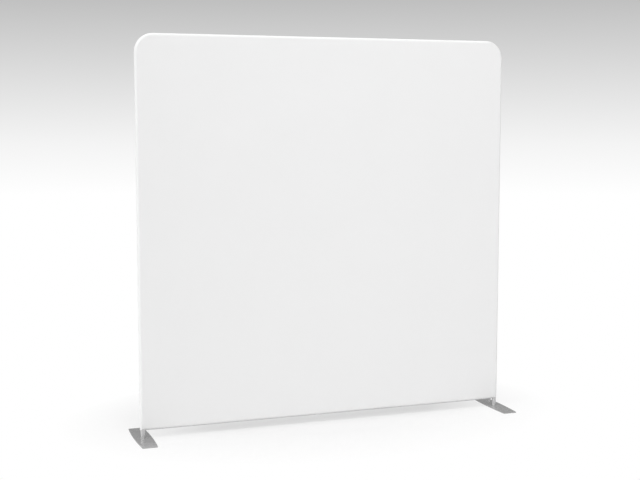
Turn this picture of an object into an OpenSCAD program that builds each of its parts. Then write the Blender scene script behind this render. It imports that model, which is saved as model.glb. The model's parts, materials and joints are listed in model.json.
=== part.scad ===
// Straight stretch-fabric display wall on two flat feet.
// A plug-together frame of round aluminium tube carries a white pillowcase cover
// that closes with a zip along its underside.
// X runs along the wall, -Y is the front, Z is up, and the floor is at Z = 0.

/* [Wall] */
// Width of the covered wall
wall_w = 2400; // [1600:10:3000]
// Height of the covered wall, from its underside to its top
wall_h = 2355; // [1600:5:3000]
// Gap between the floor and the underside of the cover
floor_gap = 51; // [40:1:90]

/* [Frame tube] */
// Outside diameter of the frame tube
tube_d = 30; // [28:0.5:34]
// Wall of the frame tube
tube_wall = 1.5; // [1.2:0.1:2]
// Radius of the upper corners, at the middle of the tube
bend_r = 98; // [70:1:200]
// Straight leg at each end of an upper corner
bend_leg = 110; // [90:5:200]
// Leg of a mitred lower corner, from the crossing of its tubes
corner_leg = 170; // [140:5:240]

/* [Tube joints] */
// Length of a joint sleeve that is riveted into its own tube
sleeve_fixed = 50; // [45:1:60]
// Length of a joint sleeve that plugs into the next tube
sleeve_plug = 62; // [54:1:75]
// Wall of a joint sleeve and of a tee's spigots
sleeve_wall = 1.5; // [1:0.1:2]
// Gap all round between a sleeve or a post and the tube that it slides in
slip_fit = 0.05; // [0.03:0.01:0.1]
// Chamfer on the ends of sleeves, spigots and posts
lead_in = 1; // [0.5:0.1:1.2]
// Diameter of a snap button
button_d = 8; // [6:0.5:9]
// How far a snap button stands out of the tube
button_proud = 3; // [2:0.5:4]
// Gap all round between a snap button and its hole
button_gap = 0.25; // [0.15:0.05:0.4]
// Distance from the butt joint of two tubes to the snap button
button_at = 30; // [25:1:38]
// Width of the strip that a button's hairpin spring is bent from
spring_w = 9; // [7:0.5:10]
// Thickness of the hairpin spring
spring_t = 0.8; // [0.6:0.1:1]
// Straight length of the hairpin spring's legs
spring_leg = 32; // [26:1:34]
// Diameter of a rivet's shank
rivet_d = 4; // [3.2:0.2:5]
// Distance from the butt joint to the rivet
rivet_at = 34; // [30:1:38]

/* [Centre pole] */
// Half the length of a tee's body, between the ends of the rails
tee_half = 26; // [24:1:40]
// Height of a tee's neck, from the rail's axis to the pole's end
tee_neck = 26; // [22:1:40]
// Length of a tee's spigots
tee_spigot = 54; // [50:1:70]

/* [Cover] */
// Thickness of the cover's fabric, seams and all
cover_t = 0.8; // [0.4:0.1:1.5]
// Gap between the frame and the cover
cover_fit = 0.3; // [0.2:0.1:1]
// Gap all round between a post and the cover's hemmed hole
post_hole_gap = 1; // [0.5:0.1:1.6]

/* [Zip] */
// Room between the bottom rail and the zip tape, for the slider's upper wing
zip_room = 2.7; // [2.5:0.1:5]
// Width of one zip tape, from the middle of the zip to its seam
tape_w = 9; // [7.5:0.5:11]
// Clearance between a post and the pull tab, swung level at the zip's end
pull_clear = 1; // [0.6:0.1:3]
// Half the width of the closed row of coils
coil_w = 3.1; // [2.5:0.1:3.5]
// Thickness of the coils under the tape
coil_t = 2; // [1.5:0.1:2.5]
// Slit between the two tapes
tape_slit = 1.6; // [1.4:0.1:2]
// Length of the slider's wings
slider_l = 17; // [14:0.5:24]
// Width of the slider's wings at the nose
slider_w = 10.4; // [10:0.2:14]
// Thickness of each wing
slider_wing = 1; // [0.8:0.1:1.2]
// Length of the pull tab, from its pin
pull_l = 20; // [16:0.5:28]
// Width of the pull tab
pull_w = 6.4; // [5:0.2:9]
// Thickness of the pull tab
pull_t = 1.4; // [1:0.1:1.8]

/* [Foot] */
// Length of a base plate, from front to back
plate_l = 450; // [300:5:600]
// Width of a base plate at its middle
plate_mid_w = 108; // [90:1:180]
// How far each long side of the plate bows out from its ends
plate_bow = 9; // [4:1:25]
// Thickness of a base plate
plate_t = 5; // [5:0.5:10]
// Radius of the plate's corners
plate_corner_r = 7; // [3:1:20]
// Nominal diameter of the screw that holds the post
screw_d = 8; // [6:1:10]
// Length of that screw, with its head
screw_l = 25; // [16:1:40]

/* [Hidden] */
$fn = 96;
big = wall_w + wall_h;
// How far a cut runs past the face that it opens
cut = 1;

tube_r = tube_d / 2;
bore_r = tube_r - tube_wall;
sleeve_r = bore_r - slip_fit;
sleeve_bore_r = sleeve_r - sleeve_wall;
half_t = tube_r + cover_fit + cover_t;

// The wall's centre-lines
axis_x = wall_w / 2 - half_t;
cover_low_z = floor_gap + half_t;
rail_low_z = floor_gap + cover_t + zip_room + tube_r;
rail_top_z = floor_gap + wall_h - half_t;
bend_z = rail_top_z - bend_r;
bend_x = axis_x - bend_r;

// Ends of the tubes
corner_top_z = rail_low_z + corner_leg;
corner_end_x = axis_x - corner_leg;
bend_low_z = bend_z - bend_leg;
bend_end_x = bend_x - bend_leg;
upright_mid_z = (corner_top_z + bend_low_z) / 2;
pole_low_z = rail_low_z + tee_neck;
pole_top_z = rail_top_z - tee_neck;
pole_mid_z = (pole_low_z + pole_top_z) / 2;

// Feet
post_r = bore_r - slip_fit;
post_top_z = corner_top_z - sleeve_fixed;
post_hole_r = post_r + post_hole_gap;
screw_head_r = screw_d;
screw_head_t = screw_head_r - screw_d / 2;
screw_sunk = 0.3;
screw_edge = 0.01;
screw_gap = 0.25;
socket_d = screw_d * 0.6;
socket_depth = screw_head_t * 0.6;
bow_r = (pow(plate_l / 2, 2) + pow(plate_bow, 2)) / (2 * plate_bow);
// The corner circles reach this far past the plate's sides, so that they cross
// the sides at a small angle instead of only touching them
corner_lap = 0.02;

// Snap buttons: heights are measured from the tube's axis, along the button
button_top = tube_r + button_proud;
press_past = 0.2;
button_travel = button_proud + tube_wall + press_past;
flange_lip = 1.2;
flange_r = button_d / 2 + flange_lip;
flange_t = 1;
flange_gap = 0.12;
flange_top = sqrt(pow(sleeve_bore_r, 2) - pow(flange_r, 2)) - flange_gap;
leg_gap = 0.06;
leg_top = flange_top - flange_t;
leg_low = -sqrt(pow(sleeve_bore_r, 2) - pow(spring_w / 2, 2)) + leg_gap;
spring_bend_r = (leg_top - leg_low) / 2;
spring_tail = flange_r + 1;
button_dome = 1.5;
rivet_head_r = rivet_d * 0.95;
rivet_head_t = 1.3;
rivet_tail_r = rivet_d * 0.72;
rivet_tail_t = 1.9;
rivet_gap = 0.05;
rivet_sunk = 0.5;
rivet_seat = sqrt(pow(sleeve_bore_r, 2) - pow(rivet_tail_r, 2)) - rivet_gap;

// Zip: heights are measured from the underside of the cover
stop_l = 4;
stop_gap = 0.4;
stop_inset = 1;
stop_wrap = 0.5;
slider_x = axis_x - post_r - pull_clear - pull_l;
slider_travel = 2 * slider_x;
zip_half = slider_x + slider_l / 2 + stop_gap + stop_l + stop_inset;
function tape_rise(y) = half_t - sqrt(pow(half_t, 2) - pow(y, 2));
wing_gap = 0.3;
channel_low = -coil_t - wing_gap;
channel_top = cover_t + tape_rise(slider_w / 2) + wing_gap;
lip_top = -0.15;
slider_low = channel_low - slider_wing;
slider_top = channel_top + slider_wing;
coil_gap = 0.4;
channel_w = coil_w + coil_gap;
channel_side = 0.9;
wedge_l = 3.6;
wedge_w = tape_slit - wing_gap;
wedge_inset = 0.5;
nose_chamfer = 1.5;
tail_chamfer = 1;
pin_r = 1;
pin_gap = 0.12;
lug_wall = 0.9;
lug_t = 1.8;
lug_r = pin_r + pin_gap + lug_wall;
pin_z = slider_low - lug_r;
cheek_t = 1.3;
cheek_gap = 0.2;
cheek_r = lug_r - cheek_gap;
neck_l = 3;
// Overlap of two shapes that become one solid
weld = 0.1;

// Every tube joint: name, middle of the butt joint, direction into the plugged
// tube, and direction that its snap button faces, which is always into the frame
SLEEVED = [
    ["low_left", [-axis_x, 0, corner_top_z], [0, 0, 1], [1, 0, 0]],
    ["low_right", [axis_x, 0, corner_top_z], [0, 0, 1], [-1, 0, 0]],
    ["mid_left", [-axis_x, 0, upright_mid_z], [0, 0, 1], [1, 0, 0]],
    ["mid_right", [axis_x, 0, upright_mid_z], [0, 0, 1], [-1, 0, 0]],
    ["high_left", [-axis_x, 0, bend_low_z], [0, 0, 1], [1, 0, 0]],
    ["high_right", [axis_x, 0, bend_low_z], [0, 0, 1], [-1, 0, 0]],
    ["top_left", [-bend_end_x, 0, rail_top_z], [-1, 0, 0], [0, 0, -1]],
    ["top_right", [bend_end_x, 0, rail_top_z], [1, 0, 0], [0, 0, -1]],
    ["bottom_left", [-corner_end_x, 0, rail_low_z], [1, 0, 0], [0, 0, 1]],
    ["bottom_right", [corner_end_x, 0, rail_low_z], [-1, 0, 0], [0, 0, 1]],
    ["pole", [0, 0, pole_mid_z], [0, 0, 1], [1, 0, 0]],
];
SPIGOTS = [
    ["top_tee_left", [-tee_half, 0, rail_top_z], [-1, 0, 0], [0, 0, -1]],
    ["top_tee_right", [tee_half, 0, rail_top_z], [1, 0, 0], [0, 0, -1]],
    ["bottom_tee_left", [-tee_half, 0, rail_low_z], [-1, 0, 0], [0, 0, 1]],
    ["bottom_tee_right", [tee_half, 0, rail_low_z], [1, 0, 0], [0, 0, 1]],
];
JOINTS = concat(SLEEVED, SPIGOTS);

BUTTONS = [for (j = JOINTS) str("button_", j[0])];

left = -1;
right = 1;
front = -1;
back = 1;

// ---------- tubes and their joints ----------

// Puts children at a tube joint: X runs into the plugged tube and Z along the button
module at_joint(joint) {
    along = joint[2];
    out = joint[3];
    across = cross(out, along);
    at = joint[1];
    multmatrix([
        [along[0], across[0], out[0], at[0]],
        [along[1], across[1], out[1], at[1]],
        [along[2], across[2], out[2], at[2]],
        [0, 0, 0, 1],
    ]) children();
}

// Drills a tube for the snap buttons and rivets of the joints that are named
module drilled(buttons = [], rivets = []) {
    difference() {
        children();
        for (joint = JOINTS) {
            if (has(buttons, joint[0]))
                at_joint(joint) button_hole();
            if (has(rivets, joint[0]))
                at_joint(joint) rivet_hole();
        }
    }
}

function has(names, name) = len([for (n = names) if (n == name) n]) > 0;

module button_hole() {
    translate([button_at, 0, 0])
        cylinder(r = button_d / 2 + button_gap, h = tube_d);
}

module rivet_hole() {
    translate([-rivet_at, 0, 0])
        cylinder(r = rivet_d / 2, h = tube_d);
}

module tube_z(x, low, high) {
    translate([x, 0, low]) difference() {
        cylinder(r = tube_r, h = high - low);
        translate([0, 0, -cut]) cylinder(r = bore_r, h = high - low + 2 * cut);
    }
}

module tube_x(low, high, z) {
    translate([low, 0, z]) rotate([0, 90, 0]) difference() {
        cylinder(r = tube_r, h = high - low);
        translate([0, 0, -cut]) cylinder(r = bore_r, h = high - low + 2 * cut);
    }
}

// A mitred lower corner, whose upright bore runs out through its underside for the post
module lower_corner(side) {
    name = side == left ? "left" : "right";
    color("silver") drilled(rivets = [str("low_", name), str("bottom_", name)])
        scale_x(side) translate([axis_x, 0, rail_low_z]) difference() {
            union() {
                difference() {
                    translate([0, 0, -tube_d]) cylinder(r = tube_r, h = corner_leg + tube_d);
                    mitre_side(0);
                }
                difference() {
                    translate([tube_d, 0, 0]) rotate([0, -90, 0])
                        cylinder(r = tube_r, h = corner_leg + tube_d);
                    mitre_side(180);
                }
            }
            translate([0, 0, -tube_d]) cylinder(r = bore_r, h = corner_leg + 2 * tube_d);
            translate([-cut, 0, 0]) rotate([0, -90, 0]) cylinder(r = bore_r, h = corner_leg);
        }
}

// Half of all space, on one side of the plane that a lower corner is mitred on
module mitre_side(turn) {
    size = 2 * corner_leg;
    rotate([0, 45 + turn, 0]) translate([-size, -size, -2 * size]) cube(2 * size);
}

// Mirrors the right-hand shape for the left-hand side
module scale_x(side) {
    mirror([side == left ? 1 : 0, 0, 0]) children();
}

module upright_lower(side) {
    name = side == left ? "left" : "right";
    color("silver") drilled(buttons = [str("low_", name)], rivets = [str("mid_", name)])
        tube_z(side * axis_x, corner_top_z, upright_mid_z);
}

module upright_upper(side) {
    name = side == left ? "left" : "right";
    color("silver") drilled(buttons = [str("mid_", name)], rivets = [str("high_", name)])
        tube_z(side * axis_x, upright_mid_z, bend_low_z);
}

module upper_corner(side) {
    name = side == left ? "left" : "right";
    color("silver") drilled(buttons = [str("high_", name), str("top_", name)])
        scale_x(side) {
            translate([bend_x, 0, bend_z]) rotate([90, 0, 0]) rotate_extrude(angle = 90)
                translate([bend_r, 0]) difference() {
                    circle(r = tube_r);
                    circle(r = bore_r);
                }
            tube_z(axis_x, bend_low_z, bend_z);
            tube_x(bend_end_x, bend_x, rail_top_z);
        }
}

module top_rail(side) {
    name = side == left ? "left" : "right";
    color("silver")
        drilled(buttons = [str("top_tee_", name)], rivets = [str("top_", name)])
            scale_x(side) tube_x(tee_half, bend_end_x, rail_top_z);
}

module bottom_rail(side) {
    name = side == left ? "left" : "right";
    color("silver")
        drilled(buttons = [str("bottom_tee_", name), str("bottom_", name)])
            scale_x(side) tube_x(tee_half, corner_end_x, rail_low_z);
}

module centre_pole_lower() {
    color("silver") drilled(rivets = ["pole"])
        tube_z(0, pole_low_z, pole_mid_z);
}

module centre_pole_upper() {
    color("silver") drilled(buttons = ["pole"])
        tube_z(0, pole_mid_z, pole_top_z);
}

// A round bar along X with chamfered ends
module chamfered_bar(r, low, high) {
    translate([low, 0, 0]) rotate([0, 90, 0]) {
        cylinder(r1 = r - lead_in, r2 = r, h = lead_in);
        translate([0, 0, lead_in]) cylinder(r = r, h = high - low - 2 * lead_in);
        translate([0, 0, high - low - lead_in])
            cylinder(r1 = r, r2 = r - lead_in, h = lead_in);
    }
}

// A tee at the middle of a rail, with its neck along +Z
module tee() {
    spigot_end = tee_half + tee_spigot;
    neck_end = tee_neck + tee_spigot;
    difference() {
        union() {
            chamfered_bar(sleeve_r, -spigot_end, spigot_end);
            translate([-tee_half, 0, 0]) rotate([0, 90, 0])
                cylinder(r = tube_r, h = 2 * tee_half);
            cylinder(r = tube_r, h = tee_neck);
            rotate([0, -90, 0]) chamfered_bar(sleeve_r, 0, neck_end);
        }
        translate([-spigot_end - cut, 0, 0]) rotate([0, 90, 0])
            cylinder(r = sleeve_bore_r, h = 2 * (spigot_end + cut));
        translate([0, 0, tube_r]) cylinder(r = sleeve_bore_r, h = neck_end);
    }
}

module top_tee() {
    color("gainsboro") drilled(buttons = ["top_tee_left", "top_tee_right"])
        translate([0, 0, rail_top_z]) mirror([0, 0, 1]) tee();
}

module bottom_tee() {
    color("gainsboro") drilled(buttons = ["bottom_tee_left", "bottom_tee_right"])
        translate([0, 0, rail_low_z]) tee();
}

module joint_sleeves() {
    color("gainsboro") for (joint = SLEEVED) at_joint(joint) difference() {
        chamfered_bar(sleeve_r, -sleeve_fixed, sleeve_plug);
        translate([-sleeve_fixed - cut, 0, 0]) rotate([0, 90, 0])
            cylinder(r = sleeve_bore_r, h = sleeve_fixed + sleeve_plug + 2 * cut);
        button_hole();
        rivet_hole();
    }
}

// Rivets with a domed head that sits on the tube and a tail inside the sleeve
module sleeve_rivets() {
    dome_r = (pow(rivet_head_r, 2) + pow(rivet_head_t, 2)) / (2 * rivet_head_t);
    color("lightgray") for (joint = SLEEVED) at_joint(joint) translate([-rivet_at, 0, 0]) {
        difference() {
            intersection() {
                translate([0, 0, tube_r + rivet_head_t - dome_r]) sphere(r = dome_r);
                cylinder(r = rivet_head_r, h = tube_d);
            }
            translate([-tube_r, 0, 0]) rotate([0, 90, 0]) cylinder(r = tube_r, h = tube_d);
        }
        translate([0, 0, rivet_seat - rivet_sunk])
            cylinder(r = rivet_d / 2, h = tube_r - rivet_seat + rivet_sunk + weld);
        translate([0, 0, rivet_seat - rivet_tail_t]) cylinder(r = rivet_tail_r, h = rivet_tail_t);
    }
}

// Hairpin springs: one leg lies in the bore and the other carries the button
module button_springs() {
    outer_r = spring_bend_r;
    inner_r = outer_r - spring_t;
    bend_at = button_at + spring_tail - spring_leg;
    middle = (leg_top + leg_low) / 2;
    color("dimgray") for (joint = JOINTS) at_joint(joint)
        translate([bend_at, spring_w / 2, middle]) rotate([90, 0, 0])
            linear_extrude(height = spring_w) {
                difference() {
                    circle(r = outer_r);
                    circle(r = inner_r);
                    translate([0, -tube_d]) square([tube_d, 2 * tube_d]);
                }
                translate([0, inner_r]) square([spring_leg, spring_t]);
                translate([0, -outer_r]) square([spring_leg, spring_t]);
            }
}

// A snap button: a flange under the sleeve's wall and a pin with a domed top
module button(joint) {
    color("silver") at_joint(joint) translate([button_at, 0, 0]) {
        translate([0, 0, leg_top]) cylinder(r = flange_r, h = flange_t);
        translate([0, 0, leg_top])
            cylinder(r = button_d / 2, h = button_top - button_dome - leg_top);
        translate([0, 0, button_top - button_dome]) rotate_extrude() intersection() {
            square([button_d / 2, button_dome]);
            union() {
                square([button_d / 2 - button_dome, button_dome]);
                translate([button_d / 2 - button_dome, 0]) circle(r = button_dome);
            }
        }
    }
}

// ---------- feet ----------

// Half of a plate's outline corner that is rounded off
module plate_corner_cut() {
    arc_x = plate_mid_w / 2 - bow_r;
    y = plate_l / 2 - plate_corner_r;
    turn = asin(y / (bow_r - plate_corner_r));
    x = arc_x + (bow_r - plate_corner_r) * cos(turn);
    reach = 3 * plate_corner_r;
    translate([x + corner_lap, y + corner_lap]) difference() {
        polygon([
            [0, 0],
            [reach * cos(turn), reach * sin(turn)],
            [reach, reach],
            [0, reach],
        ]);
        circle(r = plate_corner_r);
    }
}

module plate_outline() {
    difference() {
        intersection() {
            square([2 * plate_mid_w, plate_l], center = true);
            translate([plate_mid_w / 2 - bow_r, 0]) circle(r = bow_r, $fn = 720);
            translate([bow_r - plate_mid_w / 2, 0]) circle(r = bow_r, $fn = 720);
        }
        for (x = [0, 1], y = [0, 1])
            mirror([x, 0]) mirror([0, y]) plate_corner_cut();
    }
}

module base_plate(side) {
    color("darkgray") translate([side * axis_x, 0, 0]) difference() {
        linear_extrude(height = plate_t) plate_outline();
        translate([0, 0, -cut]) cylinder(r = screw_d / 2 + screw_gap, h = plate_t + 2 * cut);
        screw_cone(screw_gap, cut);
    }
}

// The countersunk head's cone, grown by a gap and run on below the plate
module screw_cone(gap, run_on) {
    low = screw_sunk - run_on;
    translate([0, 0, low])
        cylinder(r = screw_head_r + gap, h = run_on);
    translate([0, 0, screw_sunk])
        cylinder(r1 = screw_head_r + gap, r2 = screw_d / 2 + gap, h = screw_head_t);
}

module foot_post(side) {
    color("silver") translate([side * axis_x, 0, 0]) difference() {
        union() {
            translate([0, 0, plate_t]) cylinder(r = post_r, h = post_top_z - plate_t - lead_in);
            translate([0, 0, post_top_z - lead_in])
                cylinder(r1 = post_r, r2 = post_r - lead_in, h = lead_in);
        }
        translate([0, 0, plate_t - cut]) cylinder(r = screw_d / 2 + slip_fit, h = screw_l);
    }
}

module foot_screw(side) {
    color("gray") translate([side * axis_x, 0, 0]) difference() {
        union() {
            screw_cone(0, screw_edge);
            translate([0, 0, screw_sunk]) cylinder(r = screw_d / 2, h = screw_l - screw_sunk);
        }
        translate([0, 0, -cut])
            cylinder(d = socket_d, h = cut + screw_sunk + socket_depth, $fn = 6);
    }
}

// ---------- cover ----------

// The closed body of the wall, with half thickness r all round the frame
module pillow(r) {
    intersection() {
        union() {
            linear_extrude(height = bend_z) {
                square([2 * axis_x, 2 * r], center = true);
                for (x = [-axis_x, axis_x]) translate([x, 0]) circle(r = r);
            }
            for (side = [left, right])
                scale_x(side) translate([bend_x, 0, bend_z]) rotate([90, 0, 0])
                    rotate_extrude(angle = 90) pillow_edge(r, bend_r);
            translate([-bend_x, 0, bend_z]) rotate([90, 0, 90])
                linear_extrude(height = 2 * bend_x) rotate([0, 0, 90]) pillow_edge(r, bend_r);
        }
        translate([-wall_w, 0, cover_low_z]) rotate([90, 0, 90])
            linear_extrude(height = 2 * wall_w) {
                circle(r = r);
                translate([-r, 0]) square([2 * r, wall_h]);
            }
    }
}

// A slice of the body from its inside out to its round edge
module pillow_edge(r, reach) {
    translate([0, -r]) square([reach, 2 * r]);
    intersection() {
        translate([reach, 0]) circle(r = r);
        translate([reach, -r]) square([r, 2 * r]);
    }
}

// Front or back half of the pillowcase, less its post holes and the zip's slit
module cover_half(side) {
    color("white") difference() {
        pillow(half_t);
        pillow(half_t - cover_t);
        translate([-big / 2, side == front ? 0 : -big, -cut]) cube([big, big, big]);
        for (x = [-axis_x, axis_x])
            translate([x, 0, floor_gap - cut]) cylinder(r = post_hole_r, h = half_t);
        translate([-zip_half, -tape_w, floor_gap - cut])
            cube([2 * zip_half, 2 * tape_w, half_t]);
    }
}

// ---------- zip ----------

module zip_tape(side) {
    low = side == front ? -tape_w : tape_slit / 2;
    color("whitesmoke") translate([-zip_half, 0, cover_low_z]) rotate([90, 0, 90])
        linear_extrude(height = 2 * zip_half) intersection() {
            difference() {
                circle(r = half_t);
                circle(r = half_t - cover_t);
            }
            translate([low, -half_t - cut]) square([tape_w - tape_slit / 2, half_t]);
        }
}

// The closed row of coils, from the stop at the left to the slider's wedge
module zip_coil(side) {
    low_x = -zip_half + stop_inset + stop_l;
    high_x = slider_x + slider_l / 2 - wedge_inset - wedge_l - coil_gap;
    round_r = coil_t / 2;
    seam = 0.1;
    color("white") translate([low_x, 0, floor_gap - round_r]) rotate([90, 0, 90])
        linear_extrude(height = high_x - low_x) mirror([side == front ? 1 : 0, 0]) {
            translate([seam, -round_r]) square([coil_w - round_r - seam, coil_t]);
            translate([coil_w - round_r, 0]) circle(r = round_r);
        }
}

// The box that joins the tapes at the left, and a stop on each tape at the right
module zip_stops() {
    width = coil_w + stop_wrap;
    height = coil_t + stop_wrap;
    color("silver") {
        translate([-zip_half + stop_inset, -width, floor_gap - height])
            cube([stop_l, 2 * width, height]);
        for (y = [-width, tape_slit / 2])
            translate([zip_half - stop_inset - stop_l, y, floor_gap - height])
                cube([stop_l, width - tape_slit / 2, height]);
    }
}

// Outline of a slider's wing: narrow at the closed coils, wide where the rows part
module slider_plan() {
    nose = slider_w / 2;
    tail = channel_w + channel_side;
    half_l = slider_l / 2;
    flare_x = half_l * 0.45;
    polygon([
        [-half_l, -tail + tail_chamfer],
        [-half_l + tail_chamfer, -tail],
        [0, -tail],
        [flare_x, -nose],
        [half_l - nose_chamfer, -nose],
        [half_l, -nose + nose_chamfer],
        [half_l, nose - nose_chamfer],
        [half_l - nose_chamfer, nose],
        [flare_x, nose],
        [0, tail],
        [-half_l + tail_chamfer, tail],
        [-half_l, tail - tail_chamfer],
    ]);
}

// Two wings joined by a wedge, with slots for the tapes and a lug for the pull tab
module zip_slider() {
    half_l = slider_l / 2;
    slot_l = slider_l + 2 * cut;
    channel_h = channel_top - channel_low;
    color("silver") translate([slider_x, 0, floor_gap]) difference() {
        union() {
            difference() {
                translate([0, 0, slider_low])
                    linear_extrude(height = slider_top - slider_low) slider_plan();
                translate([-half_l - cut, -channel_w, channel_low])
                    cube([slot_l, 2 * channel_w, channel_h]);
                translate([-half_l - cut, -slider_w, lip_top])
                    cube([slot_l, 2 * slider_w, channel_top - lip_top]);
            }
            translate([half_l - wedge_inset - wedge_l, -wedge_w / 2, channel_low - weld])
                cube([wedge_l, wedge_w, channel_h + 2 * weld]);
            translate([0, lug_t / 2, pin_z]) rotate([90, 0, 0])
                linear_extrude(height = lug_t) {
                    circle(r = lug_r);
                    translate([-lug_r, 0]) square([2 * lug_r, slider_low - pin_z + weld]);
                }
        }
        translate([0, lug_t, pin_z]) rotate([90, 0, 0])
            cylinder(r = pin_r + pin_gap, h = 2 * lug_t);
    }
}

// The pull tab hangs from a pin through the slider's lug
module zip_pull() {
    inner = lug_t / 2 + cheek_gap;
    outer = inner + cheek_t;
    neck_z = -lug_r - cheek_gap;
    tip_r = pull_w / 2;
    color("silver") translate([slider_x, 0, floor_gap + pin_z]) {
        translate([0, outer, 0]) rotate([90, 0, 0]) cylinder(r = pin_r, h = 2 * outer);
        for (y = [-outer, inner]) translate([0, y + cheek_t, 0]) rotate([90, 0, 0])
            linear_extrude(height = cheek_t) {
                circle(r = cheek_r);
                translate([-pull_t / 2, neck_z - neck_l / 2])
                    square([pull_t, neck_l / 2 - neck_z]);
            }
        translate([-pull_t / 2, 0, 0]) rotate([90, 0, 90]) linear_extrude(height = pull_t)
            difference() {
                union() {
                    translate([-outer, neck_z - neck_l]) square([2 * outer, neck_l]);
                    translate([-tip_r, tip_r - pull_l])
                        square([2 * tip_r, pull_l - tip_r + neck_z - neck_l / 2]);
                    translate([0, tip_r - pull_l]) circle(r = tip_r);
                }
                translate([0, tip_r - pull_l]) circle(r = tip_r * 0.45);
            }
    }
}

// ---------- nodes ----------

base_plate(left);  // base_plate_left
base_plate(right);  // base_plate_right
foot_post(left);  // foot_post_left
foot_post(right);  // foot_post_right
foot_screw(left);  // foot_screw_left
foot_screw(right);  // foot_screw_right
lower_corner(left);  // lower_corner_left
lower_corner(right);  // lower_corner_right
upright_lower(left);  // upright_lower_left
upright_lower(right);  // upright_lower_right
upright_upper(left);  // upright_upper_left
upright_upper(right);  // upright_upper_right
upper_corner(left);  // upper_corner_left
upper_corner(right);  // upper_corner_right
top_rail(left);  // top_rail_left
top_rail(right);  // top_rail_right
bottom_rail(left);  // bottom_rail_left
bottom_rail(right);  // bottom_rail_right
top_tee();
bottom_tee();
centre_pole_lower();
centre_pole_upper();
joint_sleeves();
sleeve_rivets();
button_springs();
cover_half(front);  // cover_front
cover_half(back);  // cover_back
zip_tape(front);  // zip_tape_front
zip_tape(back);  // zip_tape_back
zip_coil(front);  // zip_coil_front
zip_coil(back);  // zip_coil_back
zip_stops();
zip_slider();
zip_pull();
for (joint = JOINTS)
    button(joint);
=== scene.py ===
# Looks of a straight stretch-fabric display wall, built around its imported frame.
# Metres throughout. X runs along the wall, -Y is the front, Z is up, the floor is at Z = 0.
import json
from math import acos, asin, atan2, cos, pi, radians, sin, sqrt

import bmesh
import bpy
from mathutils import Matrix, Vector


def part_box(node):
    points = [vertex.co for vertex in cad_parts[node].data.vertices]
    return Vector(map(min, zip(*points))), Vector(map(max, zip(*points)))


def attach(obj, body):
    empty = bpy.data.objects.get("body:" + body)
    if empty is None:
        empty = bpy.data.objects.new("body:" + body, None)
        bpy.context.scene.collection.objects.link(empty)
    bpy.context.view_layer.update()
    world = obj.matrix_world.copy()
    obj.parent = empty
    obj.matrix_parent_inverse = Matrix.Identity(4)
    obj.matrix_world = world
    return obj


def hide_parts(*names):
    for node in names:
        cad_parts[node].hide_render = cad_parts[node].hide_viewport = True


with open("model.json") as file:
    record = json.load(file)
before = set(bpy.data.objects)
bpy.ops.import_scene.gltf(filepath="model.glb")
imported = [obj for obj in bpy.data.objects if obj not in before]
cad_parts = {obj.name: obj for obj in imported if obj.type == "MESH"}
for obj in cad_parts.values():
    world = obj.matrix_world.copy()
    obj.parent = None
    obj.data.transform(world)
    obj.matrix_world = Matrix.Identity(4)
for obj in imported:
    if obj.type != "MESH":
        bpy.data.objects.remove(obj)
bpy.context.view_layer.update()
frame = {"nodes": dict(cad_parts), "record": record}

MM = 0.001

# ---------- sizes that no box of the frame gives, as in the part's source ----------

BEND_R = 98 * MM
POST_HOLE_GAP = 1 * MM

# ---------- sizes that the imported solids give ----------

wall_low, wall_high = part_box("cover_front")
post_low, post_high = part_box("foot_post_right")
tape_low, tape_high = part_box("zip_tape_back")
coil_low, coil_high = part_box("zip_coil_back")

half_t = -wall_low.y
axis_x = wall_high.x - half_t
axis_low_z = wall_low.z + half_t
axis_top_z = wall_high.z - half_t
bend_x = axis_x - BEND_R
bend_z = axis_top_z - BEND_R
post_hole_r = (post_high.x - post_low.x) / 2 + POST_HOLE_GAP
zip_half = tape_high.x
tape_edge = tape_high.y
coil_w = coil_high.y

# ---------- sizes of the sewn work ----------

# the cloth's thickness, and how many times its cut size it is drawn to
CLOTH_T, CLOTH_STRETCH = 0.3 * MM, 1.04
# the rim's seam: half its gap, the round over which the cloth turns in, and the end there
SEAM_GAP, SEAM_ROUND, SEAM_TURNED = 0.12 * MM, 0.45 * MM, 0.5 * MM
# the hem along the zip: how wide it is turned back, and how far above the outer cloth
HEM_TURNED, HEM_DROP = 2.4 * MM, 0.65 * MM
STITCH_PITCH = 3.2 * MM
HOLE_HEM_GAP = 0.1 * MM

# ---------- how far the sharp edges of the metal pieces are broken ----------

PLATE_EDGE = 0.7 * MM
SLIDER_EDGE = 0.15 * MM
PULL_EDGE = 0.18 * MM

# ---------- how finely the panels are divided ----------

RIM_STEPS = 14
SEAM_STEPS = 4
BEND_STEPS = 24
FACE_STRIPS = 12
FACE_INSET = 3 * MM
POST_HOLE_SIDES = 64
CLOSE = 0.01 * MM


# ---------- shader maths ----------


class Tone:
    """A node's output that adds up like a number, so that a pattern reads as a sum."""

    def __init__(self, finish, socket):
        self.finish = finish
        self.socket = socket

    def term(self, operation, *values):
        return self.finish.node("ShaderNodeMath", {"operation": operation}, values)

    def __add__(self, other):
        return self.term("ADD", self, other)

    def __radd__(self, other):
        return self.term("ADD", other, self)

    def __sub__(self, other):
        return self.term("SUBTRACT", self, other)

    def __rsub__(self, other):
        return self.term("SUBTRACT", other, self)

    def __mul__(self, other):
        return self.term("MULTIPLY", self, other)

    def __rmul__(self, other):
        return self.term("MULTIPLY", other, self)

    def __truediv__(self, other):
        return self.term("DIVIDE", self, other)

    def wave(self):
        """A sine of this many turns, from 0 to 1."""
        return self.term("SINE", self * (2 * pi)) * 0.5 + 0.5

    def kept_in(self):
        """The same value, but no less than 0 and no more than 1."""
        return self.term("MINIMUM", self.term("MAXIMUM", self, 0), 1)

    def zigzag(self, half):
        """A ramp that goes up and down again, each way over the length of a half."""
        return self.term("PINGPONG", self, half)


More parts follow.
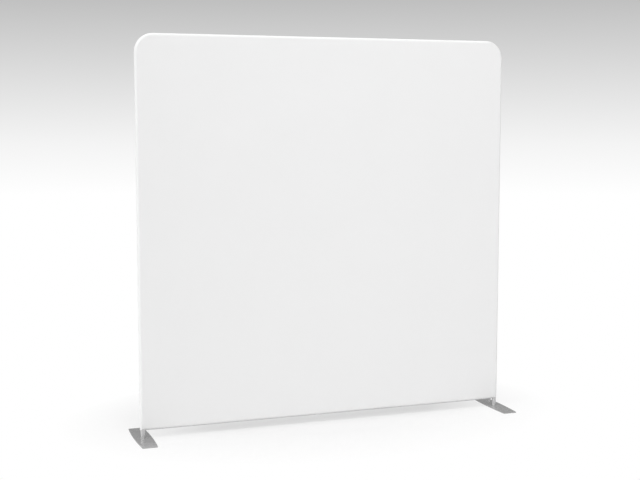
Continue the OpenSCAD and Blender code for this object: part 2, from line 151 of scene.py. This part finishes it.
class Finish:
    """A material, or the world where one is given, and the nodes that it is made of."""

    def __init__(self, name, world=None):
        self.holder = world or bpy.data.materials.new(name)
        self.holder.use_nodes = True
        self.tree = self.holder.node_tree
        self.tree.nodes.clear()

    def node(self, kind, settings=None, values=(), output=0):
        made = self.tree.nodes.new(kind)
        for name, value in (settings or {}).items():
            if name == "stops":
                shade_stops(made.color_ramp, value)
            else:
                setattr(made, name, value)
        named = values.items() if isinstance(values, dict) else enumerate(values)
        for key, value in named:
            if isinstance(value, Tone):
                self.tree.links.new(value.socket, made.inputs[key])
            else:
                made.inputs[key].default_value = value
        return Tone(self, made.outputs[output] if made.outputs else None)

    def place(self, scale=(1, 1, 1), move=(0, 0, 0)):
        """Object coordinates in metres, scaled along each axis and then moved."""
        here = self.node("ShaderNodeTexCoord", output=3)
        return self.node(
            "ShaderNodeMapping", {}, {"Vector": here, "Location": move, "Scale": scale}
        )

    def noise(self, where, scale, detail=2.0, rough=0.5):
        return self.node(
            "ShaderNodeTexNoise",
            {"noise_dimensions": "3D"},
            {"Vector": where, "Scale": scale, "Detail": detail, "Roughness": rough},
        )

    def mixed(self, share, first, second):
        """A colour between two, by a share from 0 to 1."""
        first, second = (
            colour if isinstance(colour, Tone) else (*colour, 1)
            for colour in (first, second)
        )
        return self.node(
            "ShaderNodeMix",
            {"data_type": "RGBA", "clamp_factor": True},
            {0: share, 6: first, 7: second},
            output=2,
        )

    def bump(self, height, deep, strength=1.0):
        return self.node(
            "ShaderNodeBump",
            {},
            {"Strength": strength, "Distance": deep, "Height": height},
        )

    def surface(self, **sockets):
        values = {name.replace("_", " "): value for name, value in sockets.items()}
        shader = self.node("ShaderNodeBsdfPrincipled", {}, values)
        self.node("ShaderNodeOutputMaterial", {}, {"Surface": shader})
        return self.holder


def shade_stops(ramp, stops):
    """Gives a ramp its stops, each with its place and its grey."""
    while len(ramp.elements) < len(stops):
        ramp.elements.new(0.5)
    for element, (at, shade) in zip(ramp.elements, stops):
        element.position = at
        element.color = (shade, shade, shade, 1)


def grey(shade):
    return (shade, shade, shade)


# ---------- finishes ----------


def knitted_cloth():
    """White warp knit: fine upright ribs crossed by rows of slanting loops."""
    cloth = Finish("white_stretch_knit")
    rib_pitch, row_pitch = 0.9 * MM, 0.7 * MM
    laid = cloth.node("ShaderNodeUVMap", {"uv_map": "cloth"})
    across = cloth.node("ShaderNodeSeparateXYZ", {}, [laid], output=0)
    upward = cloth.node("ShaderNodeSeparateXYZ", {}, [laid], output=1)
    ribs = across / rib_pitch
    slant = ribs.zigzag(0.5)
    loops = (upward / row_pitch + slant).wave()
    knit = ribs.wave() * 0.6 + loops * 0.4
    cloudy = cloth.noise(cloth.place(), 2.3, 3)
    yarn = cloth.noise(cloth.place((1, 1, 0.2)), 900, 1)
    share = knit * 0.35 + cloudy * 0.4 + yarn * 0.25
    return cloth.surface(
        Base_Color=cloth.mixed(share, grey(0.868), grey(0.906)),
        Roughness=knit * -0.08 + 0.9,
        Normal=cloth.bump(knit + yarn * 0.3, 0.12 * MM, 0.5),
        Specular_IOR_Level=0.25,
        Sheen_Weight=0.08,
        Sheen_Roughness=0.4,
    )


def woven_band():
    """Zip tape: a herringbone of fine twill lines."""
    band = Finish("white_zip_tape_weave")
    bone_pitch, twill_pitch, weft_pitch = 2.4 * MM, 0.8 * MM, 0.45 * MM
    here = band.place()
    along = band.node("ShaderNodeSeparateXYZ", {}, [here], output=0)
    across = band.node("ShaderNodeSeparateXYZ", {}, [here], output=1)
    lean = (across / bone_pitch).zigzag(0.5)
    twill = (along / twill_pitch + lean * 2.0).wave()
    weft = (across / weft_pitch).wave()
    weave = twill * 0.7 + weft * 0.3
    return band.surface(
        Base_Color=band.mixed(weave, grey(0.8), grey(0.88)),
        Roughness=weave * -0.1 + 0.85,
        Normal=band.bump(weave, 0.12 * MM, 0.6),
        Specular_IOR_Level=0.3,
    )


def nylon_coil():
    """White nylon filament with a faint cloudiness."""
    coil = Finish("white_nylon_coil")
    cloudy = coil.noise(coil.place(), 260, 2)
    return coil.surface(
        Base_Color=coil.mixed(cloudy, grey(0.82), grey(0.88)),
        Roughness=cloudy * 0.12 + 0.32,
        Normal=coil.bump(cloudy, 0.05 * MM, 0.3),
    )


def sewing_thread():
    """White twisted thread: plies wind round each stitch."""
    thread = Finish("white_sewing_thread")
    ply_pitch = 0.32 * MM
    here = thread.place()
    along = thread.node("ShaderNodeSeparateXYZ", {}, [here], output=0)
    across = thread.node("ShaderNodeSeparateXYZ", {}, [here], output=1)
    plies = ((along + across) / ply_pitch).wave()
    return thread.surface(
        Base_Color=thread.mixed(plies, grey(0.8), grey(0.9)),
        Roughness=plies * -0.1 + 0.7,
        Normal=thread.bump(plies, 0.06 * MM, 0.6),
    )


def metal(name, dark, light, rough, grain=(1, 1, 1), fine=900, deep=0.02, bright=1.0):
    """Metal with fine marks, drawn out along the axes where its grain is below 1.

    Bare metal is fully bright, and a grey coat with metal flakes in it is less so."""
    worn = Finish(name)
    marks_spread, cloud_spread = 0.1, 0.06
    marks = worn.noise(worn.place(grain), fine, 3, 0.6)
    cloudy = worn.noise(worn.place(), 14, 3)
    share = marks * 0.6 + cloudy * 0.4
    smoothest = rough - marks_spread / 2 - cloud_spread / 2
    return worn.surface(
        Base_Color=worn.mixed(share, grey(dark), grey(light)),
        Metallic=bright,
        Roughness=marks * marks_spread + cloudy * cloud_spread + smoothest,
        Normal=worn.bump(marks, deep * MM, 0.35),
    )


FINISHES = {
    "cover_fabric": knitted_cloth(),
    "zip_tape": woven_band(),
    "zip_coil": nylon_coil(),
    "zip_metal": metal("nickel_plated_zinc", 0.5, 0.62, 0.3, fine=700, deep=0.03),
    "frame_tube": metal("satin_anodised_tube", 0.62, 0.74, 0.36, fine=1400),
    "tee_alloy": metal("tumbled_alloy_tee", 0.54, 0.68, 0.42, fine=500, deep=0.05),
    "sleeve_alloy": metal("mill_finish_sleeve", 0.6, 0.74, 0.3, fine=900),
    "rivet_alloy": metal("bright_rivet_alloy", 0.66, 0.78, 0.26, fine=900),
    "spring_steel": metal("tempered_strip_steel", 0.24, 0.36, 0.34, (1, 0.1, 1)),
    "button_metal": metal("zinc_plated_button", 0.6, 0.72, 0.28, fine=1100),
    "plate_steel": metal(
        "satin_grey_foot_plate", 0.4, 0.46, 0.26, (1, 0.03, 1), 1500, 0.03, bright=0.6
    ),
    "post_metal": metal("turned_satin_post", 0.56, 0.64, 0.55, (0.05, 0.05, 1), 1800),
    "screw_steel": metal("zinc_plated_screw", 0.42, 0.54, 0.34, fine=900),
}
THREAD = sewing_thread()


# ---------- making pieces ----------


def piece(name, bm, body, slot, finish=None, replaces=(), smooth=30):
    """Turns a bmesh into a named piece that rides on a body.

    It is shaded round, but for edges that turn by more than smooth, in degrees."""
    mesh = bpy.data.meshes.new(name)
    bm.to_mesh(mesh)
    bm.free()
    mesh.materials.append(finish or FINISHES[slot])
    for face in mesh.polygons:
        face.use_smooth = True
    mesh.set_sharp_from_angle(angle=radians(smooth))
    made = bpy.data.objects.new(name, mesh)
    bpy.context.scene.collection.objects.link(made)
    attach(made, body)
    if replaces:
        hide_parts(*replaces)
    return made


def carried_on(bm, edges, moves):
    """Extrudes a chain of edges once for each move, and gives the last chain."""
    for move in moves:
        grown = bmesh.ops.extrude_edge_only(bm, edges=edges)["geom"]
        edges = [g for g in grown if isinstance(g, bmesh.types.BMEdge)]
        verts = [g for g in grown if isinstance(g, bmesh.types.BMVert)]
        bmesh.ops.transform(bm, matrix=move, verts=verts)
    return edges


def turned_about(point, axis, angle):
    """A turn about an axis through a point."""
    return (
        Matrix.Translation(point)
        @ Matrix.Rotation(angle, 4, axis)
        @ Matrix.Translation(-Vector(point))
    )


def rim_section(bm):
    """The cloth's section at its rim, seen along +Z at the left side of the front.

    It starts on the flat face, goes round the tube, and turns in at the seam."""
    start = bmesh.ops.create_vert(bm, co=(-axis_x, -half_t, 0))["vert"]
    seam_turn = asin((SEAM_GAP + SEAM_ROUND) / half_t)
    bmesh.ops.spin(
        bm,
        geom=start,
        cent=(-axis_x, 0, 0),
        axis=(0, 0, -1),
        angle=pi / 2 - seam_turn,
        steps=RIM_STEPS,
    )
    end = min(bm.verts, key=lambda v: (v.co.x, -v.co.y))
    lip = Vector((end.co.x + SEAM_ROUND, end.co.y, 0))
    bmesh.ops.spin(
        bm, geom=[end], cent=lip, axis=(0, 0, -1), angle=pi / 2, steps=SEAM_STEPS
    )
    last = max(bm.verts, key=lambda v: v.co.y)
    turned = bmesh.ops.extrude_vert_indiv(bm, verts=[last])["verts"]
    bmesh.ops.translate(bm, vec=(SEAM_TURNED, 0, 0), verts=turned)
    return list(bm.edges)


def mitre(bm, keep_low):
    """Cuts a strip of the rim at 45 degrees through the lower left corner."""
    bmesh.ops.bisect_plane(
        bm,
        geom=bm.verts[:] + bm.edges[:] + bm.faces[:],
        plane_co=(wall_low.x, 0, wall_low.z),
        plane_no=(-1, 0, 1),
        clear_outer=keep_low,
        clear_inner=not keep_low,
    )


def unrolled(co):
    """Where a point of a panel lay on the flat cloth, before it went over the tube."""
    deep = min(1, abs(co.y) / half_t)
    spare = half_t * (acos(deep) - sqrt(1 - deep * deep))
    corner = Vector((abs(co.x) - bend_x, co.z - bend_z))
    if corner.x > 0 and corner.y > 0:
        corner *= 1 + spare / corner.length
        reach = Vector((corner.x + bend_x, corner.y + bend_z))
    else:
        reach = Vector((abs(co.x), co.z))
        if reach.x > axis_x:
            reach.x += spare
        if reach.y > axis_top_z:
            reach.y += spare
        if reach.y < axis_low_z:
            reach.y -= spare
    return Vector((reach.x if co.x > 0 else -reach.x, reach.y))


def panel(name, side, node):
    """The front or back panel of the cover, drawn over the tubes on all four sides.

    The left half of its rim is drawn along the side, round the bend and along the
    top, and mitred to the underside. A mirror gives the right half, and one face
    closes the middle and is cut into a grid."""
    rim = bmesh.new()
    section = rim_section(rim)
    bmesh.ops.translate(rim, vec=(0, 0, wall_low.z - 2 * half_t), verts=rim.verts[:])
    up = Matrix.Translation((0, 0, bend_z - wall_low.z + 2 * half_t))
    bend = turned_about((-bend_x, 0, bend_z), "Y", pi / 2 / BEND_STEPS)
    across = Matrix.Translation((bend_x, 0, 0))
    carried_on(rim, section, [up] + [bend] * BEND_STEPS + [across])
    mitre(rim, keep_low=False)
    upper = bpy.data.meshes.new("rim")
    rim.to_mesh(upper)
    rim.free()

    bm = bmesh.new()
    section = rim_section(bm)
    onto_floor = turned_about((-axis_x, 0, 0), "Y", -pi / 2)
    bmesh.ops.transform(bm, matrix=onto_floor, verts=bm.verts[:])
    bmesh.ops.translate(bm, vec=(-2 * half_t, 0, axis_low_z), verts=bm.verts[:])
    carried_on(bm, section, [Matrix.Translation((axis_x + 2 * half_t, 0, 0))])
    mitre(bm, keep_low=True)
    open_zip(bm)
    bm.from_mesh(upper)
    bpy.data.meshes.remove(upper)
    bmesh.ops.remove_doubles(bm, verts=bm.verts[:], dist=CLOSE)
    bmesh.ops.mirror(
        bm,
        geom=bm.verts[:] + bm.edges[:] + bm.faces[:],
        matrix=Matrix.Identity(4),
        merge_dist=CLOSE,
        axis="X",
    )
    bmesh.ops.remove_doubles(bm, verts=bm.verts[:], dist=CLOSE)
    face_edges = [
        e
        for e in bm.edges
        if e.is_boundary and all(v.co.y < -half_t + CLOSE for v in e.verts)
    ]
    face = bmesh.ops.contextual_create(bm, geom=face_edges)["faces"]
    bmesh.ops.inset_region(bm, faces=face, thickness=FACE_INSET)
    wide, tall = 2 * axis_x, axis_top_z - axis_low_z
    for at in range(1, FACE_STRIPS):
        cut_across(bm, (-axis_x + at * wide / FACE_STRIPS, 0, 0), (1, 0, 0))
        cut_across(bm, (0, 0, axis_low_z + at * tall / FACE_STRIPS), (0, 0, 1))
    bmesh.ops.recalc_face_normals(bm, faces=bm.faces[:])
    if sum(f.normal.y * f.calc_area() for f in bm.faces) > 0:
        bmesh.ops.reverse_faces(bm, faces=bm.faces[:])
    if side > 0:
        bmesh.ops.rotate(bm, matrix=Matrix.Rotation(pi, 3, "Z"), verts=bm.verts[:])
    bm = holed(bm)
    cloth = bm.loops.layers.uv.new("cloth")
    for f in bm.faces:
        for loop in f.loops:
            loop[cloth].uv = unrolled(loop.vert.co)
    return piece(name, bm, "frame", "cover_fabric", replaces=[node], smooth=38)


def cut_across(bm, at, facing):
    """Cuts every face that a plane crosses, and keeps both sides."""
    whole = bm.verts[:] + bm.edges[:] + bm.faces[:]
    bmesh.ops.bisect_plane(
        bm, geom=whole, plane_co=at, plane_no=facing, dist=0.001 * MM
    )


def open_zip(bm):
    """Cuts the zip's opening in the underside and turns its edge in for a hem."""
    cut_across(bm, (-zip_half, 0, 0), (1, 0, 0))
    cut_across(bm, (0, -tape_edge, 0), (0, 1, 0))
    middles = ((f, f.calc_center_median()) for f in bm.faces)
    gone = [f for f, at in middles if at.x > -zip_half and at.y > -tape_edge]
    bmesh.ops.delete(bm, geom=gone, context="FACES")
    edge = [
        e
        for e in bm.edges
        if e.is_boundary and all(abs(v.co.y + tape_edge) < CLOSE for v in e.verts)
    ]
    fold_round = 0.1 * MM
    lift = Matrix.Translation((0, fold_round, HEM_DROP / 2))
    back = Matrix.Translation((0, -fold_round, HEM_DROP / 2))
    under = turned_about((0, 0, axis_low_z), "X", -HEM_TURNED / half_t)
    carried_on(bm, edge, [lift, back, under])


def holed(bm):
    """Gives the cloth its thickness, then cuts the holes for the posts through it."""
    mesh = bpy.data.meshes.new("uncut")
    bm.to_mesh(mesh)
    bm.free()
    whole = bpy.data.objects.new("uncut", mesh)
    cutter_bm = bmesh.new()
    for side in (-1, 1):
        bmesh.ops.create_cone(
            cutter_bm,
            cap_ends=True,
            segments=POST_HOLE_SIDES,
            radius1=post_hole_r,
            radius2=post_hole_r,
            depth=2 * half_t,
            matrix=Matrix.Translation((side * axis_x, 0, wall_low.z)),
        )
    cutter_mesh = bpy.data.meshes.new("post_cutter")
    cutter_bm.to_mesh(cutter_mesh)
    cutter_bm.free()
    cutter = bpy.data.objects.new("post_cutter", cutter_mesh)
    for each in (whole, cutter):
        bpy.context.scene.collection.objects.link(each)
    wall = whole.modifiers.new("cloth_thickness", "SOLIDIFY")
    wall.thickness = CLOTH_T
    wall.offset = -1
    cut = whole.modifiers.new("post_holes", "BOOLEAN")
    cut.operation = "DIFFERENCE"
    cut.object = cutter
    bpy.context.view_layer.update()
    seen = bpy.context.evaluated_depsgraph_get()
    done = bmesh.new()
    done.from_object(whole, seen)
    for each in (whole, cutter):
        old = each.data
        bpy.data.objects.remove(each)
        bpy.data.meshes.remove(old)
    return done


def underside(y, proud=0.0):
    """Height of the cover's underside at a distance from its middle, and its slope."""
    reach = half_t + proud
    return axis_low_z - sqrt(reach * reach - y * y), asin(y / reach)


def in_a_row(made, count, pitch):
    """Repeats a piece along X."""
    row = made.modifiers.new("row", "ARRAY")
    row.count = count
    row.use_relative_offset = False
    row.use_constant_offset = True
    row.constant_offset_displace = (pitch, 0, 0)


def stitch(bm, at, turn, long, thick):
    """One stitch: a lozenge of thread that dips at both ends."""
    size = Matrix.Diagonal((long / 2, thick / 2, thick / 2, 1))
    bmesh.ops.create_icosphere(
        bm, subdivisions=1, radius=1, matrix=Matrix.Translation(at) @ turn @ size
    )


def topstitching(name, side):
    """The row of stitches that holds a panel's hem to its zip tape."""
    bare_ends, from_edge, proud = 4 * MM, 1.5 * MM, 0.08 * MM
    long, thick = STITCH_PITCH * 0.86, 0.36 * MM
    count = int((2 * zip_half - bare_ends) / STITCH_PITCH)
    y = side * (tape_edge + from_edge)
    z, slope = underside(y, proud)
    start = -(count - 1) * STITCH_PITCH / 2
    bm = bmesh.new()
    stitch(bm, (start, y, z), Matrix.Rotation(slope, 4, "X"), long, thick)
    made = piece(name, bm, "frame", "cover_fabric", THREAD)
    in_a_row(made, count, STITCH_PITCH)
    return made


def zip_band(name, side, node):
    """One zip tape, sewn above its panel's hem, and its width and length laid flat."""
    past_edge, above_cloth, thick = 3.6 * MM, 1.0 * MM, 0.35 * MM
    inner, outer = 0.8 * MM, tape_edge + past_edge
    band_r = half_t - above_cloth
    first = asin(inner / band_r)
    turn = asin(outer / band_r) - first
    bm = bmesh.new()
    start = bmesh.ops.create_vert(
        bm,
        co=(-zip_half, side * inner, axis_low_z - band_r * cos(first)),
    )["vert"]
    bmesh.ops.spin(
        bm,
        geom=start,
        cent=(0, 0, axis_low_z),
        axis=(1, 0, 0),
        angle=side * turn,
        steps=8,
    )
    carried_on(bm, bm.edges[:], [Matrix.Translation((2 * zip_half, 0, 0))])
    bmesh.ops.recalc_face_normals(bm, faces=bm.faces[:])
    if sum(f.normal.z for f in bm.faces) > 0:
        bmesh.ops.reverse_faces(bm, faces=bm.faces[:])
    made = piece(name, bm, "frame", "zip_tape", replaces=[node])
    wall = made.modifiers.new("tape_thickness", "SOLIDIFY")
    wall.thickness = thick
    wall.offset = -1
    return made, (turn * band_r, 2 * zip_half)


def coil_row(name, side, node):
    """A row of coil turns along one tape. Their heads reach in between the other row's."""
    pitch = 1.6 * MM
    head_w, rib_w, past_middle, edge = 0.95 * MM, 0.7 * MM, 0.55 * MM, 0.16 * MM
    end_share_w, end_share_h = 0.7, 0.62
    above_cloth, off_low, off_side = 0.35 * MM, 0.15 * MM, 0.1 * MM
    top = wall_low.z + above_cloth
    low = coil_low.z + off_low
    shift = 0 if side < 0 else pitch / 2
    count = int((coil_high.x - coil_low.x - pitch) / pitch)
    bm = bmesh.new()
    bmesh.ops.create_cube(bm, size=1)
    bmesh.ops.subdivide_edges(
        bm,
        edges=[e for e in bm.edges if abs((e.verts[0].co - e.verts[1].co).y) > 0.5],
        cuts=2,
    )
    long = coil_w - off_side + past_middle
    for v in bm.verts:
        out = v.co.y + 0.5
        at_end = out < 0.1 or out > 0.9
        wide = head_w if out < 0.4 else rib_w
        v.co.x *= wide * (end_share_w if at_end else 1)
        v.co.z *= (top - low) * (end_share_h if at_end else 1)
        v.co.y = out * long - past_middle
    bmesh.ops.bevel(
        bm,
        geom=[e for e in bm.edges if abs((e.verts[0].co - e.verts[1].co).y) > 0.2 * MM],
        offset=edge,
        offset_type="OFFSET",
        affect="EDGES",
        segments=1,
        profile=0.5,
        material=-1,
    )
    if side < 0:
        bmesh.ops.rotate(bm, matrix=Matrix.Rotation(pi, 3, "Z"), verts=bm.verts[:])
    start = coil_low.x + pitch / 2 + shift
    bmesh.ops.translate(bm, vec=(start, 0, (top + low) / 2), verts=bm.verts[:])
    made = piece(name, bm, "frame", "zip_coil", replaces=[node], smooth=60)
    in_a_row(made, count, pitch)
    return made


def coil_threads(name, side):
    """Two rows of stitches that sew a coil to its tape, one stitch to two coil turns."""
    rows, from_coil_low = (1.45 * MM, 2.35 * MM), 0.16 * MM
    long, thick = STITCH_PITCH * 0.98, 0.26 * MM
    count = int((coil_high.x - coil_low.x - STITCH_PITCH) / STITCH_PITCH)
    bm = bmesh.new()
    for y in rows:
        at = (coil_low.x + STITCH_PITCH, side * y, coil_low.z + from_coil_low)
        stitch(bm, at, Matrix.Identity(4), long, thick)
    made = piece(name, bm, "frame", "zip_tape", THREAD)
    in_a_row(made, count, STITCH_PITCH)
    return made


def hole_hem(name, side):
    """A rolled edge round a post hole, which follows the round underside."""
    roll_r, sunk = 0.5 * MM, 0.15 * MM
    hem_r = post_hole_r + HOLE_HEM_GAP
    bm = bmesh.new()
    ring = bmesh.ops.create_circle(
        bm,
        segments=10,
        radius=roll_r,
        matrix=Matrix.Translation((hem_r, 0, 0)) @ Matrix.Rotation(pi / 2, 4, "X"),
    )["verts"]
    edges = list({e for v in ring for e in v.link_edges})
    bmesh.ops.spin(
        bm,
        geom=ring + edges,
        cent=(0, 0, 0),
        axis=(0, 0, 1),
        angle=2 * pi,
        steps=72,
        use_merge=True,
    )
    for v in bm.verts:
        y = hem_r * sin(atan2(v.co.y, v.co.x))
        v.co.z += underside(y)[0] + sunk
    bmesh.ops.translate(bm, vec=(side * axis_x, 0, 0), verts=bm.verts[:])
    bmesh.ops.recalc_face_normals(bm, faces=bm.faces[:])
    made = piece(name, bm, "frame", "cover_fabric", smooth=80)
    add_laid(made)
    return made


def add_laid(made):
    """Lays a small piece's knit out: its ribs by X and Y together, its rows by Z."""
    layer = made.data.uv_layers.new(name="cloth")
    for loop in made.data.loops:
        co = made.data.vertices[loop.vertex_index].co
        layer.data[loop.index].uv = (co.x + co.y, co.z)


def overcast(name, side):
    """Thread sewn over a hole's rolled edge."""
    count, slant, proud = 40, radians(18), 0.36 * MM
    long, thick = 1.5 * MM, 0.3 * MM
    hem_r = post_hole_r + HOLE_HEM_GAP
    bm = bmesh.new()
    for at in range(count):
        turn = 2 * pi * at / count
        y = hem_r * sin(turn)
        z = underside(y)[0] - proud
        lean = Matrix.Rotation(turn + slant, 4, "Z")
        stitch(bm, (side * axis_x + hem_r * cos(turn), y, z), lean, long, thick)
    return piece(name, bm, "frame", "cover_fabric", THREAD)


def eased_copy(name, node, body, slot, ease, steps=2, angle=35):
    """A machined or cast solid with its sharp edges broken, in place of its node."""
    bm = bmesh.new()
    bm.from_mesh(frame["nodes"][node].data)
    bmesh.ops.remove_doubles(bm, verts=bm.verts[:], dist=0.002 * MM)
    bmesh.ops.dissolve_limit(
        bm, angle_limit=radians(1), verts=bm.verts[:], edges=bm.edges[:]
    )
    made = piece(name, bm, body, slot, replaces=[node], smooth=angle)
    soft = made.modifiers.new("broken_edges", "BEVEL")
    soft.width = ease
    soft.segments = steps
    soft.limit_method = "ANGLE"
    soft.angle_limit = radians(angle)
    soft.harden_normals = True
    return made


# ---------- the cover and its zip ----------

for word, way in (("front", -1), ("back", 1)):
    cloth = panel(f"{word}_panel", way, f"cover_{word}")
    topstitching(f"hem_stitches_{word}", way)
    band, flat = zip_band(f"zip_band_{word}", way, f"zip_tape_{word}")
    threads = coil_threads(f"coil_threads_{word}", way)
    coil_row(f"coil_row_{word}", way, f"zip_coil_{word}")
for word, way in (("left", -1), ("right", 1)):
    hole_hem(f"post_hole_hem_{word}", way)
    overcast(f"post_hole_thread_{word}", way)
    plate = f"base_plate_{word}"
    eased_copy(f"foot_plate_{word}", plate, f"foot_{word}", "plate_steel", PLATE_EDGE)
eased_copy("slider_body", "zip_slider", "slider", "zip_metal", SLIDER_EDGE)
eased_copy("pull_tab", "zip_pull", "pull", "zip_metal", PULL_EDGE)

for part in frame["record"]["subparts"]:
    node = frame["nodes"][part["node"]]
    node.data.materials.clear()
    node.data.materials.append(FINISHES[part["material_slot"]])

# ---------- floor, backdrop, light and camera ----------


def seen_plainly(finish):
    """1 for the rays that should show the backdrop as it is: camera, gloss and glass."""
    camera_ray, gloss_ray, glass_ray = (
        finish.node("ShaderNodeLightPath", output=name)
        for name in ("Is Camera Ray", "Is Glossy Ray", "Is Transmission Ray")
    )
    return (camera_ray + gloss_ray + glass_ray).kept_in()


# the light of the sky at the horizon, and how much more of it comes from straight above
SKY_LEVEL, SKY_UP = 0.298, 0.87
# each key light: where it comes from, how many degrees it spreads, its strength
KEY_LIGHTS = [((-0.1, -0.4, 1.0), 20, 0.56), ((-1.0, -0.22, 0.5), 30, 1.04)]
# each soft box: where it hangs, the point it faces, its sides and its watts
SOFT_BOXES = [
    ((-0.3, -0.8, 4.4), (0, 0, 1.0), (3.5, 2.0), 4.2),
    ((0.3, -4.6, 3.6), (0.0, 0, 2.1), (3.0, 2.5), 48.5),
]
# the patch of floor near the wall that has painted shade: less plain white is laid over it,
# so there the floor shows its lit colour, darker than white, and the real shadow in it. How
# far behind the wall its middle lies, its scale along the wall, where less than 1 makes it
# longer, how far out it is fully shaded, over what distance the shade then goes, and the
# share of plain white over all of it
SHADE_MIDDLE, SHADE_ALONG, SHADE_FULL, SHADE_FADES = 0.27, 0.69, 0.54, 0.6
FLOOR_GLOW = 0.36
FLOOR_R = 21
# how the backdrop greys: share of the way from its low to its high end, and shade there.
# Both ends are given as the sine of their angle above level
BACKDROP = [(0.0, 1.0), (0.129, 0.905), (0.292, 0.735), (0.496, 0.52), (1.0, 0.42)]
BACKDROP_LOW, BACKDROP_HIGH = -0.0645, 0.2645
# how quickly the backdrop goes from grey at the sides to white at the front
FRONT_FADE = 4
# the camera as solved from the photo: place, lens, tilt down and turn to the right
CAMERA_AT = (-2.5070, -6.7920, 1.9190)
CAMERA_LENS, CAMERA_TILT, CAMERA_TURN = 65.56, 0.1051, 0.3468


def backdrop():
    """Behind the wall it is white at the horizon and greyer with height.

    In front of the wall it is white. What lights the wall is the sky's own light."""
    world = bpy.data.worlds.new("studio")
    bpy.context.scene.world = world
    sky = Finish("studio", world)
    towards = sky.node("ShaderNodeTexCoord", output=0)
    height = sky.node("ShaderNodeSeparateXYZ", {}, [towards], output=2)
    share = (height - BACKDROP_LOW) / (BACKDROP_HIGH - BACKDROP_LOW)
    shade = sky.node("ShaderNodeValToRGB", {"stops": BACKDROP}, [share])
    backward = sky.node("ShaderNodeSeparateXYZ", {}, [towards], output=1)
    shade = sky.mixed(backward * FRONT_FADE + 1, grey(1), shade)
    seen = sky.node("ShaderNodeBackground", {}, {"Color": shade, "Strength": 1.0})
    dome = height * height * SKY_UP + SKY_LEVEL
    light = sky.node("ShaderNodeBackground", {}, {"Color": dome, "Strength": 1.0})
    both = sky.node("ShaderNodeMixShader", {}, [seen_plainly(sky), light, seen])
    sky.node("ShaderNodeOutputWorld", {}, {"Surface": both})


def floor():
    """White as the backdrop far from the wall. Near it the floor is lit and shaded, and has
    painted shade, as less plain white is laid over it there.
    """
    bm = bmesh.new()
    bmesh.ops.create_circle(bm, cap_ends=True, segments=96, radius=FLOOR_R)
    mesh = bpy.data.meshes.new("floor")
    bm.to_mesh(mesh)
    bm.free()
    made = bpy.data.objects.new("floor", mesh)
    bpy.context.scene.collection.objects.link(made)
    pale = Finish("pale_floor")
    cloudy = pale.noise(pale.place(), 0.6, 2)
    lit = pale.node(
        "ShaderNodeBsdfDiffuse",
        {},
        {"Color": pale.mixed(cloudy, grey(0.755), grey(0.765))},
    )
    glow = pale.node("ShaderNodeEmission", {}, {"Color": (1, 1, 1, 1), "Strength": 1.0})
    # painted shade: the share of plain white grows with the distance from the patch's
    # middle, so the floor darkens towards the wall
    patch = pale.place((SHADE_ALONG, 1, 1), (0, -SHADE_MIDDLE, 0))
    away = pale.node("ShaderNodeVectorMath", {"operation": "LENGTH"}, [patch], output=1)
    fade = ((away - SHADE_FULL) / SHADE_FADES).kept_in()
    share = seen_plainly(pale) * (fade * (1 - FLOOR_GLOW) + FLOOR_GLOW)
    both = pale.node("ShaderNodeMixShader", {}, [share, lit, glow])
    pale.node("ShaderNodeOutputMaterial", {}, {"Surface": both})
    mesh.materials.append(pale.holder)


def key_light(from_side, spread, strength):
    """A wide, even light from one direction, as from a large soft box far away."""
    light = bpy.data.lights.new("key", "SUN")
    light.angle = radians(spread)
    light.energy = strength
    made = bpy.data.objects.new("key", light)
    made.rotation_euler = Vector(from_side).to_track_quat("Z", "Y").to_euler()
    bpy.context.scene.collection.objects.link(made)


def soft_box(place, faced, sides, power):
    """A lamp behind a stretched cloth, which lights from near by."""
    light = bpy.data.lights.new("soft box", "AREA")
    light.shape = "RECTANGLE"
    light.size, light.size_y = sides
    light.energy = power
    made = bpy.data.objects.new("soft box", light)
    made.location = place
    away = Vector(place) - Vector(faced)
    made.rotation_euler = away.to_track_quat("Z", "Y").to_euler()
    bpy.context.scene.collection.objects.link(made)


def camera():
    """The camera that took the photo, as solved from the wall's edges in it."""
    view = bpy.data.cameras.new("camera")
    view.sensor_width = 36
    view.lens = CAMERA_LENS
    view.clip_end = 200
    made = bpy.data.objects.new("camera", view)
    made.location = CAMERA_AT
    made.rotation_euler = (pi / 2 - CAMERA_TILT, 0, -CAMERA_TURN)
    bpy.context.scene.collection.objects.link(made)
    bpy.context.scene.camera = made


backdrop()
floor()
for light in KEY_LIGHTS:
    key_light(*light)
for light in SOFT_BOXES:
    soft_box(*light)
camera()
bpy.context.scene.view_settings.view_transform = "Standard"
